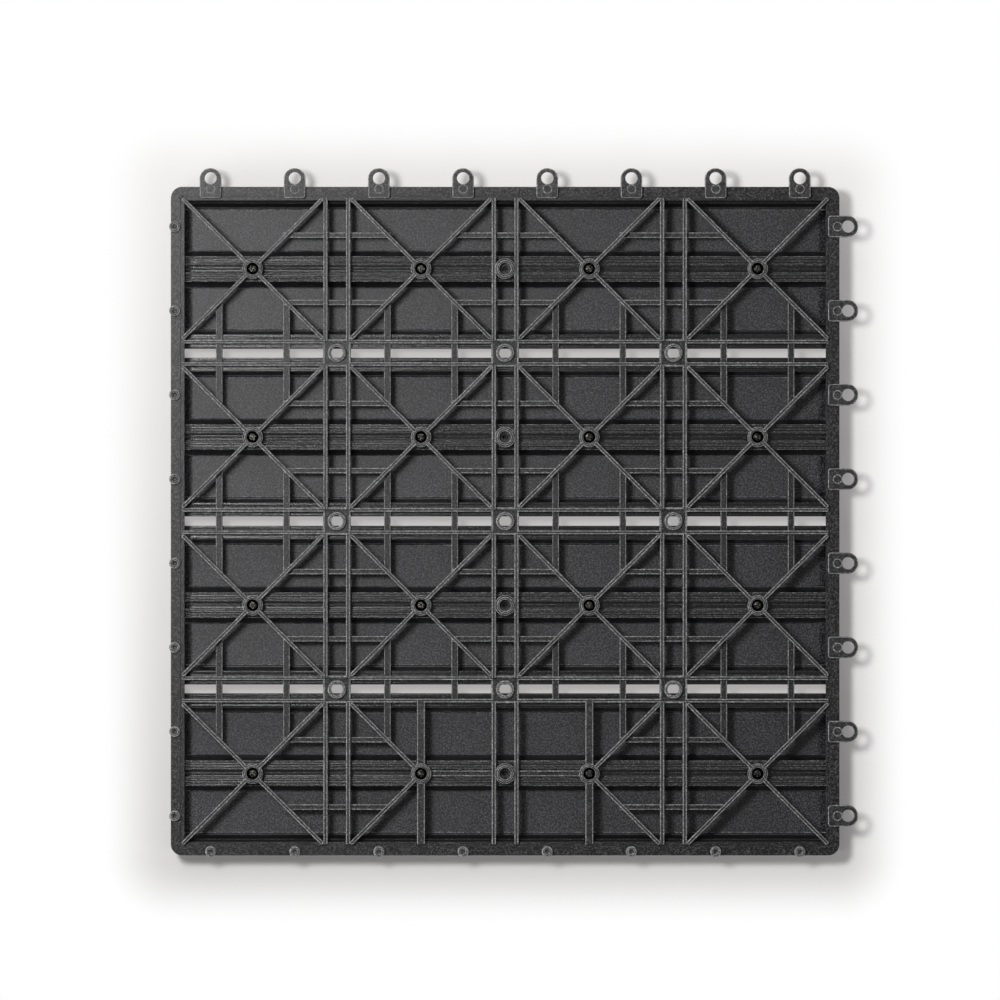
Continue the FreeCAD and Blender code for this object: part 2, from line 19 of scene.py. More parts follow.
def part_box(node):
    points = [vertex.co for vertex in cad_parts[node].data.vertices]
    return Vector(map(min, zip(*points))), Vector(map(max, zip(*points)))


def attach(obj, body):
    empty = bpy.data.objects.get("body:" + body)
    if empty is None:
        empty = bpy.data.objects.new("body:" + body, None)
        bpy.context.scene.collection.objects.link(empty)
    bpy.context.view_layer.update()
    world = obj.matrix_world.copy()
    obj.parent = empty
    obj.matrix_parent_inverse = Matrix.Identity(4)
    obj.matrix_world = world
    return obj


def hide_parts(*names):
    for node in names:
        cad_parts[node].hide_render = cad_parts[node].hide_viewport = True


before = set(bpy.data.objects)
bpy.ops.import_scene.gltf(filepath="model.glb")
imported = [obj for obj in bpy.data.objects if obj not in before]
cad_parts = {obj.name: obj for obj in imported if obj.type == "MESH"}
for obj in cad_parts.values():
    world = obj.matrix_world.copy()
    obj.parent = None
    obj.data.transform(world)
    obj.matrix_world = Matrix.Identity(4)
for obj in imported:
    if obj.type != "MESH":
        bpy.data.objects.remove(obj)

MM = 0.001
CLOSE = 0.01  # millimetres within which a height counts as met
WELD = 0.001  # millimetres within which two corners are one
UP = 0.9  # the upward part of a normal past which a face looks up
STRAIGHT = 0.999  # the share of an edge's length past which it runs along an axis
SHARP = 1.2  # radians between two faces past which their edge is a corner
FLAT_WEIGHT = 90  # how much a large flat face rules the shading at its edges
AXIS = 0.01  # millimetres from the Z axis at which a turned section closes
NOISE_ROUGHNESS = 0.65
logger = logging.getLogger("deck_tile")

Range = tuple[float, float]
Ring = tuple[float, float]
Colour = tuple[float, float, float]


class Facing(Enum):
    """The way a rib or a bar runs, as its turn from the X axis."""

    LEVEL = 0.0
    UPRIGHT = math.pi / 2


class Slot(Enum):
    """The record's material slots."""

    GRID = "grid_plastic"
    SLAT = "slat_composite"
    SCREW = "screw_steel"


# Modelling


class Bench:
    """Adds, shapes, copies and joins meshes with Blender's own operators."""

    @staticmethod
    def clear() -> None:
        """Leave edit mode and deselect everything."""
        if bpy.context.mode != "OBJECT":
            bpy.ops.object.mode_set(mode="OBJECT")
        bpy.ops.object.select_all(action="DESELECT")

    @classmethod
    def pick(cls, pieces: Sequence[bpy.types.Object]) -> None:
        """Select these pieces alone and make the first one active.

        Args:
            pieces: the objects to select.
        """
        cls.clear()
        for piece in pieces:
            piece.select_set(True)
        bpy.context.view_layer.objects.active = pieces[0]

    @classmethod
    @contextmanager
    def editing(cls, piece: bpy.types.Object, mode: str) -> Iterator[bmesh.types.BMesh]:
        """Edit one piece with nothing selected.

        Args:
            piece: the object to edit.
            mode: VERT, EDGE or FACE.

        Returns:
            A context that gives the mesh under edit.
        """
        cls.pick([piece])
        bpy.ops.object.mode_set(mode="EDIT")
        bpy.ops.mesh.select_mode(type=mode)
        bpy.ops.mesh.select_all(action="DESELECT")
        yield bmesh.from_edit_mesh(piece.data)
        bpy.ops.object.mode_set(mode="OBJECT")

    @staticmethod
    def select(items: Sequence, test: Callable, mesh: bpy.types.Mesh) -> None:
        """Select the faces, edges or vertices that pass a test, and no others.

        Args:
            items: the faces, edges or vertices of the mesh under edit.
            test: takes one of them and says whether it is wanted.
            mesh: the mesh under edit.
        """
        for item in items:
            item.select_set(False)
        for item in items:
            if test(item):
                item.select_set(True)
        bmesh.update_edit_mesh(mesh)

    @classmethod
    def settle(cls, piece: bpy.types.Object) -> bpy.types.Object:
        """Put a new primitive's place into its mesh.

        Args:
            piece: the object that was just added.

        Returns:
            The same object, at the origin.
        """
        cls.pick([piece])
        bpy.ops.object.transform_apply(location=True, rotation=True, scale=True)
        return piece

    @classmethod
    def block(cls, name: str, across: Range, along: Range, upward: Range) -> bpy.types.Object:
        """Add a plain block to start a piece from.

        Args:
            name: the object's name.
            across: its X range in millimetres.
            along: its Y range in millimetres.
            upward: its Z range in millimetres.

        Returns:
            The new object.
        """
        ranges = (across, along, upward)
        cls.clear()
        bpy.ops.mesh.primitive_cube_add(
            size=1.0,
            location=[(low + high) / 2 * MM for low, high in ranges],
            scale=[(high - low) * MM for low, high in ranges],
        )
        piece = bpy.context.object
        piece.name = name
        return cls.settle(piece)

    @classmethod
    def turned(cls, name: str, rings: Sequence[Ring], sides: int = 40) -> bpy.types.Object:
        """Draw a closed ring section round the Z axis, one circle of edges after another.

        Args:
            name: the object's name.
            rings: the section's corners as radius and height in millimetres, in order round it.
            sides: how many flats make the circle.

        Returns:
            The new object, closed on itself.
        """
        cls.clear()
        radius, height = rings[0]
        bpy.ops.mesh.primitive_circle_add(
            vertices=sides, radius=radius * MM, location=(0, 0, height * MM), fill_type="NOTHING"
        )
        piece = cls.settle(bpy.context.object)
        piece.name = name
        with cls.editing(piece, "EDGE"):
            bpy.ops.mesh.select_all(action="SELECT")
            for next_radius, next_height in [*rings[1:], rings[0]]:
                bpy.ops.mesh.extrude_region_move()
                spread = next_radius / radius
                bpy.ops.transform.resize(value=(spread, spread, 1.0), center_override=(0, 0, 0))
                bpy.ops.transform.translate(value=(0, 0, (next_height - height) * MM))
                radius, height = next_radius, next_height
            bpy.ops.mesh.select_all(action="SELECT")
            bpy.ops.mesh.remove_doubles(threshold=WELD * MM)
            bpy.ops.mesh.normals_make_consistent(inside=False)
        return piece

    @classmethod
    def carve(cls, piece: bpy.types.Object, tool: bpy.types.Object) -> None:
        """Cut a tool out of a piece and throw the tool away.

        Args:
            piece: the object that is cut.
            tool: the object that is taken out of it.
        """
        cut = piece.modifiers.new("cut", "BOOLEAN")
        cut.operation = "DIFFERENCE"
        cut.solver = "EXACT"
        cut.object = tool
        cls.pick([piece])
        bpy.ops.object.modifier_apply(modifier=cut.name)
        bpy.data.objects.remove(tool)

    @classmethod
    def round_edges(
        cls, piece: bpy.types.Object, radius: float, test: Callable, segments: int = 2
    ) -> None:
        """Round the edges that pass a test.

        Args:
            piece: the object to shape.
            radius: the radius in millimetres.
            test: takes an edge and says whether it is rounded.
            segments: how many flats make the rounding.
        """
        with cls.editing(piece, "EDGE") as mesh:
            cls.select(mesh.edges, test, piece.data)
            bpy.ops.mesh.bevel(
                offset=radius * MM, segments=segments, affect="EDGES", clamp_overlap=True
            )

    @classmethod
    def sink_face(cls, piece: bpy.types.Object, test: Callable, lip: float, depth: float) -> None:
        """Inset the faces that pass a test and sink what is inside the lip.

        Args:
            piece: the object to shape.
            test: takes a face and says whether it is sunk.
            lip: the width of the edge that stays, in millimetres.
            depth: how far the rest goes down, in millimetres.
        """
        with cls.editing(piece, "FACE") as mesh:
            cls.select(mesh.faces, test, piece.data)
            bpy.ops.mesh.inset(thickness=lip * MM, depth=0.0, use_boundary=True)
            bpy.ops.transform.translate(value=(0, 0, -depth * MM))

    @staticmethod
    def copy(master: bpy.types.Object, name: str, place: Matrix) -> bpy.types.Object:
        """Copy a finished piece, with a mesh of its own, to a place.

        Args:
            master: the piece to copy.
            name: the copy's name.
            place: where the copy goes, in metres.

        Returns:
            The copy.
        """
        twin = master.copy()
        twin.data = master.data.copy()
        twin.data.transform(place)
        twin.name = name
        bpy.context.scene.collection.objects.link(twin)
        return twin

    @classmethod
    def join(cls, name: str, pieces: Sequence[bpy.types.Object]) -> bpy.types.Object:
        """Join pieces into one object.

        Args:
            name: the object's name.
            pieces: what it is made of.

        Returns:
            The joined object.
        """
        cls.pick(pieces)
        bpy.ops.object.join()
        whole = bpy.context.object
        whole.name = name
        whole.data.name = name
        return whole

    @classmethod
    def smooth(cls, piece: bpy.types.Object, degrees: float) -> None:
        """Shade a piece smooth across edges flatter than an angle.

        Args:
            piece: the object to shade.
            degrees: the sharpest angle that is still smooth.
        """
        cls.pick([piece])
        bpy.ops.object.shade_smooth_by_angle(angle=math.radians(degrees))
        flat = piece.modifiers.new("flat_faces", "WEIGHTED_NORMAL")
        flat.keep_sharp = True
        flat.weight = FLAT_WEIGHT
        bpy.ops.object.modifier_apply(modifier=flat.name)


def dress(
    piece: bpy.types.Object,
    face: bpy.types.Material,
    edge: bpy.types.Material,
    slant: Range,
) -> None:
    """Give a piece its face finish, and its rounded upper edges a paler finish that is a painted
    highlight.

    Args:
        piece: the finished piece.
        face: the finish of its faces.
        edge: the finish of its rounded edges, made paler as a painted highlight.
        slant: between which values a normal's upward part counts as a rounded edge.
    """
    piece.data.materials.clear()
    piece.data.materials.append(face)
    piece.data.materials.append(edge)
    low, high = slant
    for polygon in piece.data.polygons:
        polygon.material_index = int(low < polygon.normal.z < high)


def at(x: float, y: float, turn: float = Facing.LEVEL.value) -> Matrix:
    """A place in metres, from millimetres off the tile's centre and a turn about Z in radians."""
    return Matrix.Translation((x * MM, y * MM, 0)) @ Matrix.Rotation(turn, 4, "Z")


def faces_up(height: float) -> Callable:
    """A test for level faces at a height in millimetres."""
    near, level = CLOSE * MM, height * MM
    return lambda face: face.normal.z > UP and abs(face.calc_center_median().z - level) < near


def edge_between(edge: bmesh.types.BMEdge) -> Vector:
    """The middle of an edge."""
    return (edge.verts[0].co + edge.verts[1].co) / 2


def on_top(edge: bmesh.types.BMEdge, height: float) -> bool:
    """Whether an edge lies at a height in millimetres, or above it."""
    return edge_between(edge).z > (height - CLOSE) * MM


def runs(edge: bmesh.types.BMEdge, axis: int) -> bool:
    """Whether an edge runs along an axis, 0 for X, 1 for Y and 2 for Z."""
    way = edge.verts[1].co - edge.verts[0].co
    return abs(way[axis]) > STRAIGHT * way.length


# Layout that the pieces share


@dataclass(frozen=True)
class Layout:
    """Rows, columns and levels of the tile, in millimetres from its centre."""

    bay: float = 75.0
    bays: int = 4
    outer: float = 149.0
    opening: float = 143.0
    ledge: float = 1.8
    foot_plane: float = 15.0
    rim_top: float = 19.0
    screw_seat: float = 17.5
    overhang: float = 0.7

    @property
    def crossings(self) -> list[float]:
        """Rows and columns of the drain bosses."""
        return [self.bay * (index - self.bays / 2 + 1) for index in range(self.bays - 1)]

    @property
    def boss_lines(self) -> list[float]:
        """Rows and columns of the screw bosses."""
        return [self.bay * (index - self.bays / 2 + 0.5) for index in range(self.bays)]

    @property
    def joints(self) -> list[float]:
        """Places of loops and pins along an edge."""
        return [self.bay / 2 * (index - self.bays + 0.5) for index in range(2 * self.bays)]

    @property
    def centre(self) -> Vector:
        """The tile's own centre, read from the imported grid.

        Returns:
            The centre in the shared frame, in metres.
        """
        low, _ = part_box("base_grid")
        reach = (self.outer + self.overhang) * MM
        return Vector((low.x + reach, low.y + reach, 0.0))


LAYOUT = Layout()


# Shader nodes


class Signal:
    """A shader socket that takes part in sums."""

    def __init__(self, desk: "NodeDesk", socket: bpy.types.NodeSocket) -> None:
        """Hold a socket and the desk that adds nodes to it."""
        self.desk = desk
        self.socket = socket

    def maths(self, operation: str, first: "Signal | float", second: "Signal | float") -> "Signal":
        """Add a Math node that works on two values, and give its result."""
        node = self.desk.node("ShaderNodeMath", {"operation": operation}, {0: first, 1: second})
        return Signal(self.desk, node.outputs[0])

    def __add__(self, other: "Signal | float") -> "Signal":
        """Sum."""
        return self.maths("ADD", self, other)

    __radd__ = __add__

    def __sub__(self, other: "Signal | float") -> "Signal":
        """Difference."""
        return self.maths("SUBTRACT", self, other)

    def __rsub__(self, other: "Signal | float") -> "Signal":
        """Difference from a number."""
        return self.maths("SUBTRACT", other, self)

    def __mul__(self, other: "Signal | float") -> "Signal":
        """Product."""
        return self.maths("MULTIPLY", self, other)

    __rmul__ = __mul__

    def size(self) -> "Signal":
        """The value without its sign."""
        return self.maths("ABSOLUTE", self, 0.0)

    def ramp(self, low: float, high: float) -> "Signal":
        """Stretch a band of values to run from 0 to 1, and hold it there.

        Args:
            low: the value that becomes 0.
            high: the value that becomes 1.

        Returns:
            The stretched value.
        """
        node = self.desk.node(
            "ShaderNodeMapRange",
            {"interpolation_type": "SMOOTHSTEP"},
            {"Value": self, "From Min": low, "From Max": high},
        )
        return Signal(self.desk, node.outputs["Result"])


class NodeDesk:
    """Builds one material's nodes."""

    def __init__(self, name: str) -> None:
        """Start a material with a bare Principled shader.

        Args:
            name: the material's name.
        """
        self.material = bpy.data.materials.new(name)
        self.material.use_nodes = True
        self.tree = self.material.node_tree
        self.shader = self.tree.nodes["Principled BSDF"]
        self.output = self.tree.nodes["Material Output"]

    def node(self, kind: str, settings: dict, sockets: dict) -> bpy.types.Node:
        """Add a node.

        Args:
            kind: the node's type.
            settings: its properties, set first.
            sockets: the value or link of each input.

        Returns:
            The node.
        """
        made = self.tree.nodes.new(kind)
        for key, value in settings.items():
            setattr(made, key, value)
        for key, value in sockets.items():
            self.feed(made.inputs[key], value)
        return made

    def feed(self, socket: bpy.types.NodeSocket, value: object) -> None:
        """Link a signal to a socket, or set the socket's value.

        Args:
            socket: the socket that is fed.
            value: a signal, or a plain value.
        """
        if isinstance(value, Signal):
            self.tree.links.new(value.socket, socket)
        else:
            socket.default_value = value

    def place(self, stretch: tuple[float, float, float] = (1.0, 1.0, 1.0)) -> Signal:
        """Object coordinates, stretched.

        Args:
            stretch: how fast the pattern runs along each axis.

        Returns:
            The coordinates.
        """
        source = self.node("ShaderNodeTexCoord", {}, {})
        plain = Signal(self, source.outputs["Object"])
        mapped = self.node("ShaderNodeMapping", {}, {"Vector": plain, "Scale": stretch})
        return Signal(self, mapped.outputs["Vector"])

    def axes(self) -> tuple[Signal, Signal, Signal]:
        """Where a point lies.

        Returns:
            Its X, Y and Z in metres.
        """
        source = self.node("ShaderNodeTexCoord", {}, {})
        plain = Signal(self, source.outputs["Object"])
        split = self.node("ShaderNodeSeparateXYZ", {}, {"Vector": plain})
        return tuple(Signal(self, split.outputs[axis]) for axis in "XYZ")

    def height(self) -> Signal:
        """How high a point lies, in metres."""
        return self.axes()[2]

    def from_middle(self) -> tuple[Signal, Signal]:
        """Where a point lies from the tile's middle.

        Returns:
            Its X and Y from there, in metres.
        """
        across, along, _ = self.axes()
        centre = LAYOUT.centre
        return across - centre.x, along - centre.y

    def off_middle(self) -> Signal:
        """How far a point lies from the tile's middle in X or Y, the larger, in metres."""
        across, along = self.from_middle()
        return across.maths("MAXIMUM", across.size(), along.size())

    def off_square(self, half: float) -> Signal:
        """How far a point lies outside a square round the tile's middle.

        Args:
            half: half the square's side in metres.

        Returns:
            The distance in metres, 0 inside.
        """
        across, along = [
            side.maths("MAXIMUM", side.size() - half, 0.0) for side in self.from_middle()
        ]
        return across.maths("POWER", across * across + along * along, 0.5)

    def rays(self, *kinds: str) -> Signal:
        """Tell some kinds of ray from the others.

        Args:
            kinds: Camera, Glossy or Transmission.

        Returns:
            1 for rays of those kinds, 0 for others.
        """
        path = self.node("ShaderNodeLightPath", {}, {})
        signals = [Signal(self, path.outputs[f"Is {kind} Ray"]) for kind in kinds]
        return sum(signals[1:], signals[0])

    def noise(self, grain: float, detail: float = 2.0, stretch: tuple = (1.0, 1.0, 1.0)) -> Signal:
        """Noise between 0 and 1.

        Args:
            grain: the size of its spots in millimetres.
            detail: how many finer layers it has.
            stretch: how fast it runs along each axis.

        Returns:
            The noise.
        """
        inputs = {
            "Vector": self.place(stretch),
            "Scale": 1.0 / (grain * MM),
            "Detail": detail,
            "Roughness": NOISE_ROUGHNESS,
        }
        made = self.node("ShaderNodeTexNoise", {}, inputs)
        return Signal(self, made.outputs["Fac"])

    def blend(self, factor: Signal, first: Colour, second: Colour) -> Signal:
        """Mix two linear colours, all the first at factor 0 and all the second at 1."""
        return self.mix(factor, (*first, 1.0), (*second, 1.0))

    def mix(self, factor: Signal, first: object, second: object) -> Signal:
        """Mix two colour signals, or colours with an alpha, by a factor from 0 to 1."""
        made = self.node("ShaderNodeMix", {"data_type": "RGBA"}, {0: factor, 6: first, 7: second})
        return Signal(self, made.outputs[2])

    def bump(self, height: Signal, depth: float) -> Signal:
        """Turn a height into a surface normal.

        Args:
            height: the height, 0 to 1.
            depth: what 1 stands for, in millimetres.

        Returns:
            The normal.
        """
        made = self.node(
            "ShaderNodeBump", {}, {"Height": height, "Strength": 1.0, "Distance": depth * MM}
        )
        return Signal(self, made.outputs["Normal"])

    def dress(self, **sockets: object) -> bpy.types.Material:
        """Set the Principled shader's sockets.

        Args:
            sockets: values or signals by the socket's name, with underscores for spaces.

        Returns:
            The finished material.
        """
        for key, value in sockets.items():
            self.feed(self.shader.inputs[key.replace("_", " ")], value)
        return self.material


# Finishes


@dataclass(frozen=True)
class MouldedPlastic:
    """Charcoal moulded plastic with a fine eroded grain, and a painted highlight that makes its
    highest forms paler.
    """

    name: str = "moulded_plastic"
    dark: Colour = (0.002, 0.002, 0.0021)
    pale: Colour = (0.056, 0.056, 0.057)
    roughness: Range = (0.24, 0.36)
    gloss: float = 0.12
    top_highlight: float = 0.35
    top_highlight_from: Range = (20.0, 21.0)
    grain: float = 0.75
    grain_band: Range = (0.49, 0.61)
    grain_depth: float = 0.09
    grain_relief: float = 0.8
    scuff_relief: float = 0.5
    cloud: float = 26.0
    scuff: float = 3.0

    def build(self) -> bpy.types.Material:
        """Make the material.

        Returns:
            The plastic.
        """
        desk = NodeDesk(self.name)
        grain = desk.noise(self.grain, detail=3.0)
        clouds = desk.noise(self.cloud, detail=2.0)
        scuffs = desk.noise(self.scuff, detail=4.0)
        # Painted highlight: faces from about 20 mm up, the tops of the ribs, bosses, loops and
        # pins, are made paler than the rest.
        base, full = self.top_highlight_from
        highlit_tops = desk.height().ramp(base * MM, full * MM)
        tone = grain.ramp(*self.grain_band) * (clouds + scuffs) + highlit_tops * grain * self.top_highlight
        relief = grain * self.grain_relief + scuffs * self.scuff_relief
        low, high = self.roughness
        return desk.dress(
            Base_Color=desk.blend(tone, self.dark, self.pale),
            Roughness=scuffs * (high - low) + low,
            Specular_IOR_Level=self.gloss,
            Normal=desk.bump(relief, self.grain_depth),
        )


@dataclass(frozen=True)
class ExtrudedComposite:
    """Dark wood composite: lined by the die on its feet and legs, cast-like in its recesses, with
    the rim's shadow painted round its edge.
    """

    name: str = "extruded_composite"
    dark: Colour = (0.002, 0.002, 0.0022)
    pale: Colour = (0.013, 0.013, 0.014)
    slat_second_tone: Colour = (0.002, 0.002, 0.003)
    tint: Colour = (0.062, 0.062, 0.068)
    gloss: float = 0.17
    line_pitch: float = 0.8
    line_draw: float = 0.012
    line_band: Range = (0.46, 0.64)
    line_depth: float = 0.10
    line_fade: float = 0.85
    speck: float = 0.7
    speck_band: Range = (0.46, 0.61)
    speck_relief: float = 0.6
    cloud: float = 20.0
    cloud_base: float = 0.5
    roughness: float = 0.14
    recess_dulling: float = 0.19
    speck_dulling: float = 0.08
    rim_shadow_dulling: float = 0.6
    recess_to_foot: Range = (6.0, 11.0)
    rim_shadow_band: Range = (139.2, 142.0)

    def build(self) -> bpy.types.Material:
        """Make the material.

        Returns:
            The composite.
        """
        desk = NodeDesk(self.name)
        lines = desk.noise(self.line_pitch, detail=1.0, stretch=(self.line_draw, 1.0, 1.0))
        specks = desk.noise(self.speck, detail=4.0)
        clouds = desk.noise(self.cloud, detail=4.0)
        recess_top, foot_base = self.recess_to_foot
        deep = 1.0 - desk.height().ramp(recess_top * MM, foot_base * MM)
        sawn = (lines * 0.5 + specks * 0.5).ramp(*self.line_band)
        cast = specks.ramp(*self.speck_band) * (clouds + self.cloud_base)
        # Painted shadow of the rim: in a band just inside the rim the feet and legs are taken down
        # to their darkest colour, and the whole composite is made rougher there, so it reads as
        # shaded.
        open_edge, covered = self.rim_shadow_band
        lip = desk.off_middle().ramp(open_edge * MM, covered * MM)
        foot = desk.blend(sawn * (1.0 - lip), self.dark, self.pale)
        recess = desk.blend(cast, self.slat_second_tone, self.tint)
        relief = lines * (1.0 - deep * self.line_fade) + specks * self.speck_relief
        dulled = deep * self.recess_dulling + specks * self.speck_dulling + lip * self.rim_shadow_dulling
        return desk.dress(
            Base_Color=desk.mix(deep, foot, recess),
            Roughness=dulled + self.roughness,
            Specular_IOR_Level=self.gloss,
            Normal=desk.bump(relief, self.line_depth),
        )


@dataclass(frozen=True)
class ScrewSteel:
    """Plated steel with handling marks."""

    name: str = "plated_steel"
    dark: Colour = (0.004, 0.004, 0.004)
    pale: Colour = (0.060, 0.056, 0.050)
    mark: float = 0.8
    mark_band: Range = (0.45, 0.65)
    mark_depth: float = 0.10
    roughness: Range = (0.16, 0.41)

    def build(self) -> bpy.types.Material:
        """Make the material.

        Returns:
            The steel.
        """
        desk = NodeDesk(self.name)
        marks = desk.noise(self.mark, detail=4.0)
        low, high = self.roughness
        return desk.dress(
            Base_Color=desk.blend(marks.ramp(*self.mark_band), self.dark, self.pale),
            Metallic=1.0,
            Roughness=marks * (high - low) + low,
            Normal=desk.bump(marks, self.mark_depth),
        )


@dataclass(frozen=True)
class PaleFloor:
    """Pale floor that keeps the tile's shadow and fades to white further off."""

    name: str = "pale_floor"
    colour: Colour = (0.62, 0.61, 0.60)
    mottle: Colour = (0.64, 0.63, 0.62)
    mottle_size: float = 60.0
    under_colour: Colour = (0.2, 0.2, 0.2)
    roughness: float = 0.9
    gloss: float = 0.1
    glow: Colour = (1.0, 0.965, 0.96)
    lift: float = 0.14
    under_lift: float = 0.27
    slope: float = 0.3
    back_slope: float = 0.5
    half_tile: float = 0.149
    rim: float = 0.009
    near: float = 0.003
    far: float = 0.032

    def build(self) -> bpy.types.Material:
        """Make the material.

        Returns:
            The floor's finish, white past the shadow and evenly lit under the tile's gaps.
        """
        desk = NodeDesk(self.name)
        seen = desk.rays("Camera", "Glossy", "Transmission")
        across, along, _ = desk.axes()
        away = desk.off_square(self.half_tile).ramp(self.near, self.far)
        under = 1.0 - desk.off_middle().ramp(self.half_tile - self.rim, self.half_tile)
        pale = desk.blend(desk.noise(self.mottle_size, detail=2.0), self.colour, self.mottle)
        # Painted light and shade on the floor round the tile: its glow grows towards +X and +Y and
        # falls towards -X and -Y. This makes the floor near the tile's lower and left edges darker
        # and near its upper and right edges lighter. Under the tile the floor is darker and glows
        # more.
        slope = (across * self.slope + along * self.back_slope) * (1.0 - under)
        lit = desk.rays("Camera") * (slope + under * self.under_lift + self.lift)
        desk.dress(
            Base_Color=desk.mix(under, pale, (*self.under_colour, 1.0)),
            Roughness=self.roughness,
            Specular_IOR_Level=self.gloss,
            Emission_Color=desk.blend(lit, (0.0, 0.0, 0.0), self.glow),
            Emission_Strength=1.0,
        )
        white = desk.node("ShaderNodeEmission", {}, {"Color": (1, 1, 1, 1), "Strength": 1.0})
        mixed = desk.node("ShaderNodeMixShader", {}, {0: away * seen})
        desk.tree.links.new(desk.shader.outputs["BSDF"], mixed.inputs[1])
        desk.tree.links.new(white.outputs["Emission"], mixed.inputs[2])
        desk.tree.links.new(mixed.outputs["Shader"], desk.output.inputs["Surface"])
        return desk.material


# The tile's pieces


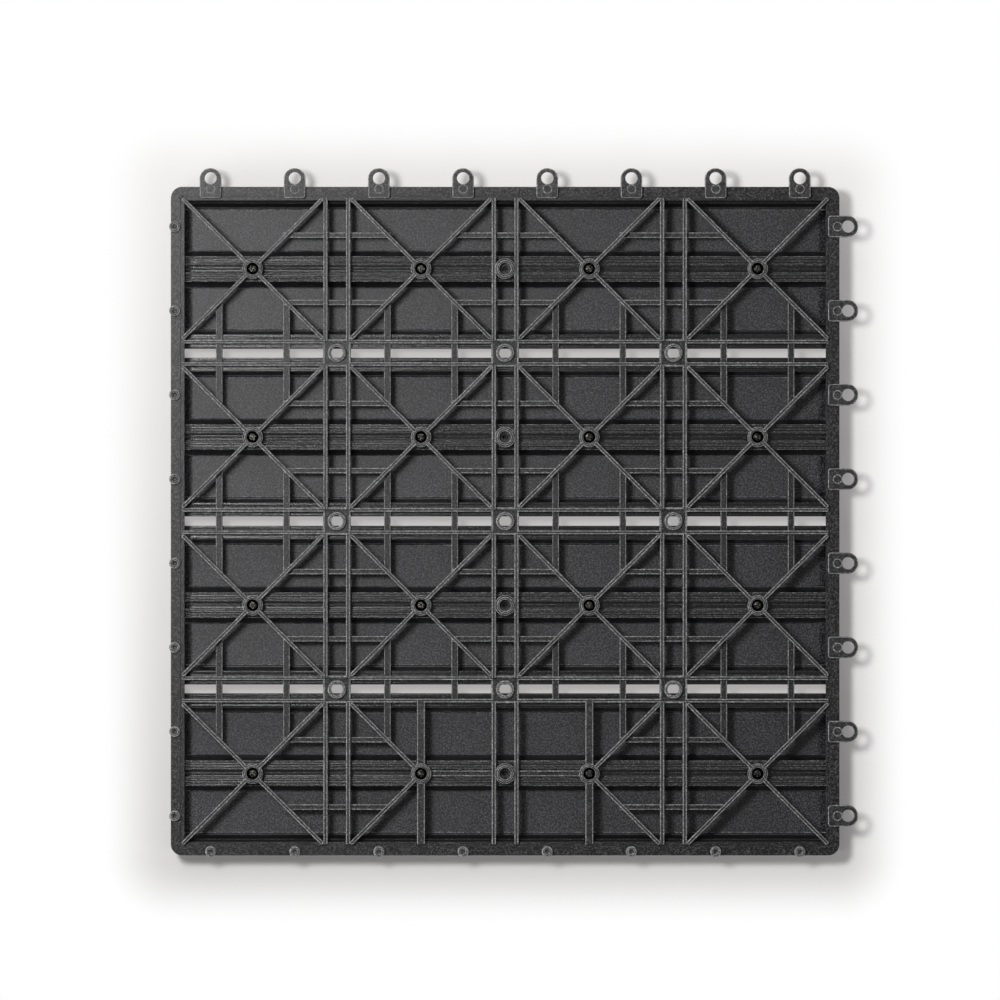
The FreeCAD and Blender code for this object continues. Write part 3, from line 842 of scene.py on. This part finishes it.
@dataclass
class BaseGrid:
    """The one-piece moulding: rim, bars, ribs, bosses, loops and pins."""

    finish: bpy.types.Material
    edge_highlight_finish: bpy.types.Material
    rim_radius: float = 5.0
    rim_soft: float = 0.3
    ledge_drop: float = 0.4
    ledge_radius: float = 2.0
    line_width: float = 0.35
    line_depth: float = 0.45
    bar_square: float = 45.0
    upright_bar: float = 2.9
    level_bar: float = 2.4
    bar_top: float = 17.5
    lapped: float = 0.04
    level_rib: float = 1.6
    level_spread: float = 10.0
    level_top: float = 20.0
    upright_rib: float = 1.9
    upright_spread: float = 10.1
    upright_top: float = 21.0
    diagonal: float = 1.7
    diagonal_top: float = 22.0
    diagonal_reach: float = 31.3
    rib_lip: float = 0.1
    stay: float = 3.5
    stay_top: float = 21.0
    tie: float = 2.6
    plate: float = 12.4
    plate_top: float = 18.5
    plate_radius: float = 1.5
    plate_soft: float = 0.5
    plate_lip: float = 0.35
    plate_dish: float = 0.35
    boss: float = 9.1
    bite: float = 0.8
    drill: float = 2.7
    loop_top: float = 22.0
    loop_half_width: float = 4.8
    loop_along: Range = (-5.2, 8.2)
    loop_nose_radius: float = 4.6
    loop_root_radius: float = 1.3
    loop_soft: float = 0.4
    loop_hole_out: float = 3.8
    loop_mark_out: float = -1.0
    pin_radius: float = 2.5
    pin_root: float = 16.0
    smooth_angle: float = 62.0
    edge_slant: Range = (0.15, 0.975)
    parts: list[bpy.types.Object] = field(default_factory=list)

    def build(self) -> bpy.types.Object:
        """Model every form of the moulding and join them.

        Returns:
            The moulding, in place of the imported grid.
        """
        self.rim()
        self.flat_bars()
        self.middle_bay()
        self.double_ribs()
        self.diagonals()
        self.drain_bosses()
        self.screw_bosses()
        self.loops()
        self.pins()
        whole = Bench.join("grid_moulding", self.parts)
        whole.data.transform(Matrix.Translation(LAYOUT.centre))
        Bench.smooth(whole, self.smooth_angle)
        dress(whole, self.finish, self.edge_highlight_finish, self.edge_slant)
        return whole

    def rib(
        self,
        name: str,
        length: float,
        width: float,
        top: float,
        soft: float = 0.36,
        hollow: float = 0.1,
        tip: float = 0.0,
    ) -> bpy.types.Object:
        """Model one rib along X, with rounded edges and a slight hollow between them.

        Args:
            name: the object's name.
            length: its length in millimetres.
            width: its width in millimetres.
            top: the height of its face in millimetres.
            soft: the radius of its edges in millimetres.
            hollow: how deep its face sinks, in millimetres.
            tip: the radius of the corners at its +X end in plan, in millimetres.

        Returns:
            The rib, centred on the origin.
        """
        half, side = length / 2, width / 2
        rib = Bench.block(name, (-half, half), (-side, side), (LAYOUT.foot_plane, top))
        if tip:
            Bench.round_edges(rib, tip, lambda edge: runs(edge, 2) and edge_between(edge).x > 0, 4)
        Bench.round_edges(
            rib,
            soft,
            lambda edge: on_top(edge, top)
            and (runs(edge, 0) or (tip > 0 and edge_between(edge).x > 0)),
            3,
        )
        Bench.sink_face(rib, faces_up(top), self.rib_lip, hollow)
        return rib

    def lay(self, master: bpy.types.Object, places: Sequence[Matrix]) -> None:
        """Lay copies of a master and throw the master away.

        Args:
            master: the piece to copy.
            places: where the copies go.
        """
        for index, place in enumerate(places):
            self.parts.append(Bench.copy(master, f"{master.name}_{index}", place))
        bpy.data.objects.remove(master)

    def stretches(self) -> list[Range]:
        """Where a double rib runs between the rim and the drain plates.

        Returns:
            The start and end of each stretch, in millimetres.
        """
        end = LAYOUT.opening + LAYOUT.ledge / 2
        edge = self.plate / 2 - self.bite
        stops = [-end]
        for line in LAYOUT.crossings:
            stops += [line - edge, line + edge]
        stops.append(end)
        return list(zip(stops[::2], stops[1::2]))

    def rim(self) -> None:
        """Model the frame with its stepped inner edge."""
        outer, opening = LAYOUT.outer, LAYOUT.opening
        ledge = opening + LAYOUT.ledge
        steps = (
            (self.ledge_drop + self.line_depth, self.line_width),
            (-self.line_depth, ledge - opening - self.line_width),
        )
        side = (-outer, outer)
        rim = Bench.block("rim", side, side, (LAYOUT.foot_plane, LAYOUT.rim_top))
        with Bench.editing(rim, "FACE") as mesh:
            Bench.select(mesh.faces, lambda face: face.normal.z > UP, rim.data)
            bpy.ops.mesh.inset(thickness=(outer - ledge) * MM)
            for fall, run in steps:
                drop = {"value": (0, 0, -fall * MM)}
                bpy.ops.mesh.extrude_region_move(TRANSFORM_OT_translate=drop)
                bpy.ops.mesh.inset(thickness=run * MM)
            bpy.ops.mesh.delete(type="ONLY_FACE")
            mesh = bmesh.from_edit_mesh(rim.data)
            Bench.select(mesh.faces, lambda face: face.normal.z < -UP, rim.data)
            bpy.ops.mesh.inset(thickness=(outer - opening) * MM)
            bpy.ops.mesh.delete(type="ONLY_FACE")
            mesh = bmesh.from_edit_mesh(rim.data)
            bpy.ops.mesh.select_mode(type="EDGE")
            Bench.select(mesh.edges, lambda edge: edge.is_boundary, rim.data)
            bpy.ops.mesh.bridge_edge_loops()
        corners = ((self.rim_radius, outer, 8), (self.ledge_radius, ledge, 5))
        for radius, at_corner, segments in corners:
            Bench.round_edges(
                rim,
                radius,
                lambda edge, corner=at_corner: runs(edge, 2)
                and abs(abs(edge_between(edge).x) - corner * MM) < CLOSE * MM,
                segments,
            )
        Bench.round_edges(rim, self.rim_soft, self.on_rim_lip)
        self.parts.append(rim)

    def on_rim_lip(self, edge: bmesh.types.BMEdge) -> bool:
        """Whether an edge is one of the rim's top outline, its ledge or its opening.

        Args:
            edge: an edge of the rim under edit.

        Returns:
            True for a sharp level edge well above the rim's foot.
        """
        middle = edge_between(edge)
        level = abs(edge.verts[0].co.z - edge.verts[1].co.z) < CLOSE * MM
        sharp = len(edge.link_faces) == 2 and edge.calc_face_angle(0.0) > SHARP
        return level and sharp and middle.z > (LAYOUT.foot_plane + 1.0) * MM

    def flat_bars(self) -> None:
        """Lay the squares of flat bars round the drain bosses and the half squares at the rims."""
        half = self.bar_square / 2
        edge = LAYOUT.bay * LAYOUT.bays / 2 - half
        side_length = self.bar_square
        upright = self.rib(
            "upright_bar", side_length, self.upright_bar, self.bar_top, soft=0.3, hollow=0.28
        )
        level_length, level_top = side_length + self.upright_bar, self.bar_top - self.lapped
        level = self.rib(
            "level_bar", level_length, self.level_bar, level_top, soft=0.28, hollow=0.05
        )
        turn = Facing.UPRIGHT.value
        ups, levels = [], []
        for row in LAYOUT.crossings:
            for column in LAYOUT.crossings:
                if self.in_middle_bay(row, column):
                    levels.append(at(column, row + half))
                    continue
                ups += [at(column + half * side, row, turn) for side in (-1, 1)]
                levels += [at(column, row + half * side) for side in (-1, 1)]
        for line in LAYOUT.crossings:
            levels.append(at(line, edge))
            if line != 0:
                levels.append(at(line, -edge))
            ups += [at(edge * side, line, turn) for side in (-1, 1)]
        self.lay(upright, ups)
        self.lay(level, levels)
        low = self.level_spread / 2
        short = self.rib(
            "short_bar", half + low, self.upright_bar, self.bar_top, soft=0.3, hollow=0.28
        )
        middle = LAYOUT.crossings[0] + (half - low) / 2
        self.lay(short, [at(half * side, middle, turn) for side in (-1, 1)])

    def in_middle_bay(self, row: float, column: float) -> bool:
        """Whether a crossing is the one over the bay with the stays."""
        return row == LAYOUT.crossings[0] and column == 0

    def middle_bay(self) -> None:
        """Lay the stays and the tie bar of the bay at the lower rim."""
        row = LAYOUT.boss_lines[0]
        wall = self.boss / 2 - self.bite
        top = LAYOUT.crossings[0] - self.level_spread / 2
        bottom = -LAYOUT.opening - LAYOUT.ledge / 2
        turn = Facing.UPRIGHT.value
        for name, low, high in (("upper", row + wall, top), ("lower", bottom, row - wall)):
            stay = self.rib(
                f"{name}_stay", high - low, self.stay, self.stay_top, soft=0.4, hollow=0.38
            )
            self.lay(stay, [at(LAYOUT.bay / 2 * side, (low + high) / 2, turn) for side in (-1, 1)])
        inner, outer = wall, LAYOUT.bay / 2 - wall
        tie = self.rib("tie", outer - inner, self.tie, self.bar_top, soft=0.3)
        self.lay(tie, [at((inner + outer) / 2 * side, row) for side in (-1, 1)])

    def double_ribs(self) -> None:
        """Lay the pairs of ribs either side of the drain bosses."""
        turn = Facing.UPRIGHT.value
        pairs = [(line, side / 2) for line in LAYOUT.crossings for side in (-1, 1)]
        for index, (low, high) in enumerate(self.stretches()):
            middle, length = (low + high) / 2, high - low
            level = self.rib(
                f"level_rib_{index}", length, self.level_rib, self.level_top, soft=0.34
            )
            upright = self.rib(
                f"upright_rib_{index}",
                length,
                self.upright_rib,
                self.upright_top,
                soft=0.4,
                hollow=0.14,
            )
            rows = [line + self.level_spread * half for line, half in pairs]
            columns = [line + self.upright_spread * half for line, half in pairs]
            self.lay(level, [at(middle, row) for row in rows])
            self.lay(upright, [at(column, middle, turn) for column in columns])

    def diagonals(self) -> None:
        """Lay the diagonals round each screw boss."""
        start = self.boss / 2 - self.bite
        tip = self.diagonal_reach * math.sqrt(2.0)
        rib = self.rib(
            "diagonal", tip - start, self.diagonal, self.diagonal_top, hollow=0.12, tip=0.7
        )
        rib.data.transform(Matrix.Translation(((tip + start) / 2 * MM, 0, 0)))
        places = []
        for row in LAYOUT.boss_lines:
            for column in LAYOUT.boss_lines:
                for eighth in (1, 3, 5, 7):
                    inward = (1 if eighth in (1, 7) else -1) * column < 0
                    if row == LAYOUT.boss_lines[0] and abs(column) < LAYOUT.bay and inward:
                        continue
                    places.append(at(column, row, eighth * math.pi / 4))
        self.lay(rib, places)

    def drain_bosses(self) -> None:
        """Lay a rounded plate with a ring and a through hole on each crossing."""
        side, base = self.plate / 2, LAYOUT.foot_plane
        plate = Bench.block("drain_plate", (-side, side), (-side, side), (base, self.plate_top))
        Bench.round_edges(plate, self.plate_radius, lambda edge: runs(edge, 2), 5)
        Bench.round_edges(plate, self.plate_soft, lambda edge: on_top(edge, self.plate_top), 3)
        Bench.sink_face(plate, faces_up(self.plate_top), self.plate_lip, self.plate_dish)
        drill = Bench.turned(
            "drill", [(AXIS, base - 1), (self.drill, base - 1), (self.drill, 23.0), (AXIS, 23.0)]
        )
        Bench.carve(plate, drill)
        ring = Bench.turned(
            "drain_ring",
            [
                (2.6, base),
                (4.1, base),
                (4.1, 20.3),
                (4.0, 20.68),
                (3.72, 20.94),
                (3.5, 21.0),
                (3.15, 21.0),
                (2.8, 20.8),
                (2.62, 20.4),
            ],
        )
        places = [at(column, row) for row in LAYOUT.crossings for column in LAYOUT.crossings]
        self.lay(plate, places)
        self.lay(ring, places)

    def screw_bosses(self) -> None:
        """Lay the stepped bosses for the screws, and the blank ones between the middle ribs."""
        base, floor = LAYOUT.foot_plane, LAYOUT.screw_seat
        boss = Bench.turned(
            "screw_boss",
            [
                (1.7, base),
                (4.55, base),
                (4.55, 21.25),
                (4.47, 21.5),
                (4.25, 21.6),
                (3.78, 21.6),
                (3.65, 21.7),
                (3.62, 21.9),
                (3.45, 22.0),
                (2.95, 22.0),
                (2.8, 21.9),
                (2.75, 21.7),
                (2.75, floor),
                (1.7, floor),
            ],
        )
        lines = LAYOUT.boss_lines
        self.lay(boss, [at(column, row) for row in lines for column in lines])
        blank = Bench.turned(
            "blank_boss",
            [
                (1.4, base),
                (4.6, base),
                (4.6, 21.25),
                (4.5, 21.5),
                (4.3, 21.6),
                (3.78, 21.6),
                (3.65, 21.7),
                (3.6, 21.9),
                (3.4, 22.0),
                (2.9, 22.0),
                (2.66, 21.9),
                (2.6, 21.7),
                (2.6, floor),
                (1.4, floor),
            ],
        )
        self.lay(blank, [at(0, row) for row in lines])

    def loops(self) -> None:
        """Lay the loops that reach over the next tile's rim."""
        top, base, half = self.loop_top, LAYOUT.rim_top, self.loop_half_width
        root, nose = self.loop_along
        loop = Bench.block("loop", (-half, half), self.loop_along, (base, top))
        Bench.round_edges(
            loop,
            self.loop_nose_radius,
            lambda edge: runs(edge, 2) and edge_between(edge).y > (nose - CLOSE) * MM,
            10,
        )
        Bench.round_edges(
            loop,
            self.loop_root_radius,
            lambda edge: runs(edge, 2) and edge_between(edge).y < (root + CLOSE) * MM,
            5,
        )
        Bench.round_edges(loop, self.loop_soft, lambda edge: on_top(edge, top))
        drill = Bench.turned(
            "drill",
            [
                (AXIS, base - 1),
                (self.drill, base - 1),
                (self.drill, 21.65),
                (2.85, 21.9),
                (3.1, 23.0),
                (AXIS, 23.0),
            ],
        )
        drill.data.transform(Matrix.Translation((0, self.loop_hole_out * MM, 0)))
        Bench.carve(loop, drill)
        mark = Bench.turned(
            "mark", [(1.7, 21.75), (1.95, 21.68), (2.15, 21.85), (2.2, 22.2), (1.6, 22.2)]
        )
        mark.data.transform(Matrix.Translation((0, self.loop_mark_out * MM, 0)))
        Bench.carve(loop, mark)
        places = [at(line, LAYOUT.outer) for line in LAYOUT.joints]
        places += [at(LAYOUT.outer, line, -math.pi / 2) for line in LAYOUT.joints]
        self.lay(loop, places)

    def pins(self) -> None:
        """Lay the pins that stand up into the next tile's loops."""
        base, radius, root = LAYOUT.rim_top, self.pin_radius, self.pin_root
        pin = Bench.turned(
            "pin",
            [
                (AXIS, root),
                (radius - 0.2, root),
                (radius - 0.2, base + 0.2),
                (radius, base + 0.2),
                (radius, 20.9),
                (radius - 0.09, 21.35),
                (radius - 0.33, 21.72),
                (radius - 0.7, 21.94),
                (1.5, 22.0),
                (1.35, 21.7),
                (1.15, 21.55),
                (AXIS, 21.6),
            ],
            32,
        )
        seat = Bench.block("pin_seat", (-3.5, 3.5), (-2.8, 1.6), (base - 0.3, base + 0.2))
        Bench.round_edges(seat, 0.6, lambda edge: runs(edge, 2), 3)
        line_out = -(LAYOUT.outer + LAYOUT.overhang - radius)
        places = [at(line, line_out, math.pi) for line in LAYOUT.joints]
        places += [at(line_out, line, math.pi / 2) for line in LAYOUT.joints]
        self.lay(pin, places)
        self.lay(seat, places)


@dataclass
class Slats:
    """The extruded slats under the grid, each drawn out along X from its section."""

    finish: bpy.types.Material
    edge_highlight_finish: bpy.types.Material
    length: float = 295.0
    half_width: float = 35.4
    top: float = 15.0
    deck: float = 5.0
    foot: float = 5.7
    groove: float = 1.6
    groove_floor: float = 12.6
    leg: float = 29.3
    run: float = 2.35
    line_depth: float = 0.14
    foot_lines: tuple[float, ...] = (2.45, 3.55, 4.7)
    leg_lines: tuple[float, ...] = (31.2, 33.2)
    smooth_angle: float = 62.0
    edge_slant: Range = (0.3, 0.96)

    def half_section(self) -> list[tuple[float, float]]:
        """One half of the section, from the foot's middle out to the walking face.

        Returns:
            Corners as distance from the middle and height, in millimetres.
        """
        top, deck, floor = self.top, self.deck, self.groove_floor
        ridge = [(0.0, top - 0.75), (0.28, top - 0.8), (0.42, top - 1.0), (0.5, floor)]
        wall = self.groove
        groove = [(wall - 0.2, floor), (wall, floor + 0.2), (wall + 0.04, top - 0.25)]
        foot = [(wall + 0.18, top - 0.05), (wall + 0.35, top)]
        for line in self.foot_lines:
            foot += self.scored(line)
        foot += [(self.foot - 0.4, top), (self.foot - 0.12, top - 0.1), (self.foot, top - 0.35)]
        inner, outer = self.foot + self.run, self.leg - self.run
        recess = [
            (inner - 0.08, deck + 0.35),
            (inner + 0.12, deck + 0.08),
            (inner + 0.5, deck),
            (outer - 0.4, deck),
            (outer, deck + 0.3),
            (outer + 0.3, deck + 1.6),
            (outer + 0.7, deck + 1.65),
        ]
        leg = [(self.leg, top - 0.1), (self.leg + 0.1, top)]
        for line in self.leg_lines:
            leg += self.scored(line)
        side = self.half_width
        rounding = [(side - 0.1, top), (side, top - 0.1)]
        walking = [(side, 1.2), (side - 0.16, 0.6), (side - 0.6, 0.16), (side - 1.2, 0.0)]
        return ridge + groove + foot + recess + leg + rounding + walking

    def scored(self, line: float) -> list[tuple[float, float]]:
        """The four corners of a fine die line, at its distance from the middle in millimetres."""
        top, low = self.top, self.top - self.line_depth
        return [(line - 0.22, top), (line - 0.1, low), (line + 0.1, low), (line + 0.22, top)]

    def draw_out(self) -> bpy.types.Object:
        """Set a face to the whole section and draw it out along X.

        Returns:
            One slat, centred on the origin.
        """
        half = self.half_section()
        corners = half + [(-across, up) for across, up in reversed(half[1:])]
        Bench.clear()
        bpy.ops.mesh.primitive_circle_add(
            vertices=len(corners), radius=self.top * MM, fill_type="NGON"
        )
        master = Bench.settle(bpy.context.object)
        master.name = "slat"
        with Bench.editing(master, "FACE") as mesh:
            mesh.verts.ensure_lookup_table()
            for vertex, (across, up) in zip(mesh.verts, corners):
                vertex.co = Vector((-self.length / 2, across, up)) * MM
            bmesh.update_edit_mesh(master.data)
            bpy.ops.mesh.select_all(action="SELECT")
            draw = {"value": (self.length * MM, 0, 0)}
            bpy.ops.mesh.extrude_region_move(TRANSFORM_OT_translate=draw)
            bpy.ops.mesh.select_all(action="SELECT")
            bpy.ops.mesh.normals_make_consistent(inside=False)
        return master

    def build(self) -> list[bpy.types.Object]:
        """Draw out one slat and copy it to each row.

        Returns:
            The slats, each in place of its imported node.
        """
        master = self.draw_out()
        made = []
        for number, row in enumerate(reversed(LAYOUT.boss_lines), start=1):
            place = Matrix.Translation(LAYOUT.centre) @ at(0, row)
            board = Bench.copy(master, f"slat_board_{number}", place)
            Bench.smooth(board, self.smooth_angle)
            dress(board, self.finish, self.edge_highlight_finish, self.edge_slant)
            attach(board, "root")
            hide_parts(f"slat_{number}")
            made.append(board)
        bpy.data.objects.remove(master)
        return made


@dataclass
class Screws:
    """Pan-head screws with a cross recess, one in each screw boss."""

    finish: bpy.types.Material
    head: float = 2.5
    rise: float = 1.9
    shank: float = 1.45
    length: float = 11.0
    cross: float = 3.0
    cross_half_width: float = 0.36
    cross_depth: float = 1.1
    cross_turn: float = 20.0
    smooth_angle: float = 35.0

    def driven(self, column: float, row: float) -> float:
        """How far the screw in a boss is turned, in radians, another amount in each boss."""
        return (7.0 * column + 3.0 * row) % 1.57

    def build(self) -> bpy.types.Object:
        """Model one screw, copy it to every boss and join the copies.

        Returns:
            The screws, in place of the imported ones.
        """
        seat = LAYOUT.screw_seat
        top = seat + self.rise
        screw = Bench.turned(
            "screw",
            [
                (AXIS, seat - self.length),
                (self.shank * 0.35, seat - self.length + 0.9),
                (self.shank, seat - self.length + 2.5),
                (self.shank, seat),
                (self.head, seat),
                (self.head, seat + 0.75),
                (self.head - 0.12, seat + 1.15),
                (self.head - 0.45, seat + 1.55),
                (self.head - 0.95, seat + 1.8),
                (AXIS, top),
            ],
            32,
        )
        half, thin = self.cross / 2, self.cross_half_width
        for facing in Facing:
            turn = facing.value + math.radians(self.cross_turn)
            blade = Bench.block(
                "blade", (-half, half), (-thin, thin), (top - self.cross_depth, top + 0.5)
            )
            blade.data.transform(Matrix.Rotation(turn, 4, "Z"))
            Bench.carve(screw, blade)
        copies = []
        for row in LAYOUT.boss_lines:
            for column in LAYOUT.boss_lines:
                turn = self.driven(column, row)
                place = Matrix.Translation(LAYOUT.centre) @ at(column, row, turn)
                copies.append(Bench.copy(screw, "screw_copy", place))
        bpy.data.objects.remove(screw)
        whole = Bench.join("screw_set", copies)
        Bench.smooth(whole, self.smooth_angle)
        whole.data.materials.clear()
        whole.data.materials.append(self.finish)
        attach(whole, "root")
        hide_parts("slat_screws")
        return whole


# The studio


@dataclass
class Studio:
    """Floor, soft lamps, world and camera."""

    view_width: float = 445.8
    distance: float = 4.0
    look_offset: tuple[float, float] = (-2.3, 9.42)
    look_height: float = 18.0
    sensor: float = 36.0
    clip_end: float = 50.0
    floor_size: float = 8.0
    floor_gap: float = 0.05
    fill: float = 0.18

    def build(self) -> None:
        """Set the floor, the lamps, the world and the camera."""
        self.floor()
        self.lamps()
        self.world()
        self.camera()
        bpy.context.scene.view_settings.view_transform = "Standard"

    def floor(self) -> None:
        """Lay the floor just under the slats."""
        Bench.clear()
        below = (0, 0, -self.floor_gap * MM)
        bpy.ops.mesh.primitive_plane_add(size=self.floor_size, location=below)
        floor = Bench.settle(bpy.context.object)
        floor.name = "floor"
        floor.data.materials.append(PaleFloor().build())

    def lamps(self) -> None:
        """Hang the key lamp high at the upper left, a wide one behind and a low one each side."""
        self.lamp("key_lamp", Vector((-0.34, 0.20, 1.40)), size=0.22, power=15.0)
        self.lamp("back_lamp", Vector((-0.25, 0.90, 0.70)), size=0.80, power=2.6)
        self.lamp("left_lamp", Vector((-0.95, -0.30, 0.35)), size=0.50, power=3.3)
        self.lamp("right_lamp", Vector((0.95, -0.50, 0.35)), size=0.50, power=1.4)

    def lamp(self, name: str, place: Vector, size: float, power: float) -> None:
        """Hang a square lamp aimed at the tile.

        Args:
            name: the lamp's name.
            place: where it hangs, in metres.
            size: its side in metres.
            power: its power in watts.
        """
        Bench.clear()
        aim = (-place).to_track_quat("-Z", "Y").to_euler()
        bpy.ops.object.light_add(type="AREA", location=place, rotation=aim)
        lamp = bpy.context.object
        lamp.name = name
        lamp.data.shape = "SQUARE"
        lamp.data.size = size
        lamp.data.energy = power

    def world(self) -> None:
        """Fill with a dim even light, and show white to the camera and in reflections."""
        world = bpy.context.scene.world or bpy.data.worlds.new("studio")
        bpy.context.scene.world = world
        world.use_nodes = True
        nodes, links = world.node_tree.nodes, world.node_tree.links
        background = nodes["Background"]
        background.inputs["Color"].default_value = (1.0, 1.0, 1.0, 1.0)
        rays = nodes.new("ShaderNodeLightPath")
        strength = nodes.new("ShaderNodeMapRange")
        strength.inputs["To Min"].default_value = self.fill
        strength.inputs["To Max"].default_value = 1.0
        seen = rays.outputs["Is Camera Ray"]
        for kind in ("Glossy", "Transmission"):
            joined = nodes.new("ShaderNodeMath")
            links.new(seen, joined.inputs[0])
            links.new(rays.outputs[f"Is {kind} Ray"], joined.inputs[1])
            seen = joined.outputs["Value"]
        links.new(seen, strength.inputs["Value"])
        links.new(strength.outputs["Result"], background.inputs["Strength"])

    def camera(self) -> None:
        """Look straight down on the tile from far off, with the photograph's framing."""
        Bench.clear()
        across, up = self.look_offset
        centre = LAYOUT.centre
        place = (centre.x + across * MM, centre.y + up * MM, self.distance + self.look_height * MM)
        bpy.ops.object.camera_add(location=place, rotation=(0, 0, 0))
        camera = bpy.context.object
        camera.name = "camera"
        camera.data.sensor_width = self.sensor
        camera.data.lens = self.sensor * self.distance / (self.view_width * MM)
        camera.data.clip_end = self.clip_end
        bpy.context.scene.camera = camera


def main() -> None:
    """Build the tile and its studio."""
    logging.basicConfig(level=logging.INFO, format="%(name)s: %(message)s")
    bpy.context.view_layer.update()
    # Painted highlight: the grid's sloping faces, chiefly its rounded edges, get a plastic many
    # times paler than its other faces.
    grid_edge_highlight = MouldedPlastic(
        "painted_grid_edge_highlight", (0.14, 0.14, 0.142), (0.39, 0.39, 0.395), top_highlight=0.0, grain_depth=0.02
    ).build()
    grid = BaseGrid(MouldedPlastic().build(), grid_edge_highlight).build()
    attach(grid, "root")
    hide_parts("base_grid")
    logger.info("grid_moulding: %d faces", len(grid.data.polygons))
    # Painted highlight: the slats' rounded edges get a plastic many times paler than the
    # composite.
    slat_second_tone = MouldedPlastic(
        "painted_slat_edge_highlight", (0.05, 0.05, 0.051), (0.26, 0.26, 0.264), top_highlight=0.0, grain_depth=0.04
    ).build()
    for board in Slats(ExtrudedComposite().build(), slat_second_tone).build():
        logger.info("%s: %d faces", board.name, len(board.data.polygons))
    screws = Screws(ScrewSteel().build()).build()
    logger.info("%s: %d faces", screws.name, len(screws.data.polygons))
    Studio().build()


if __name__ == "__main__":
    main()
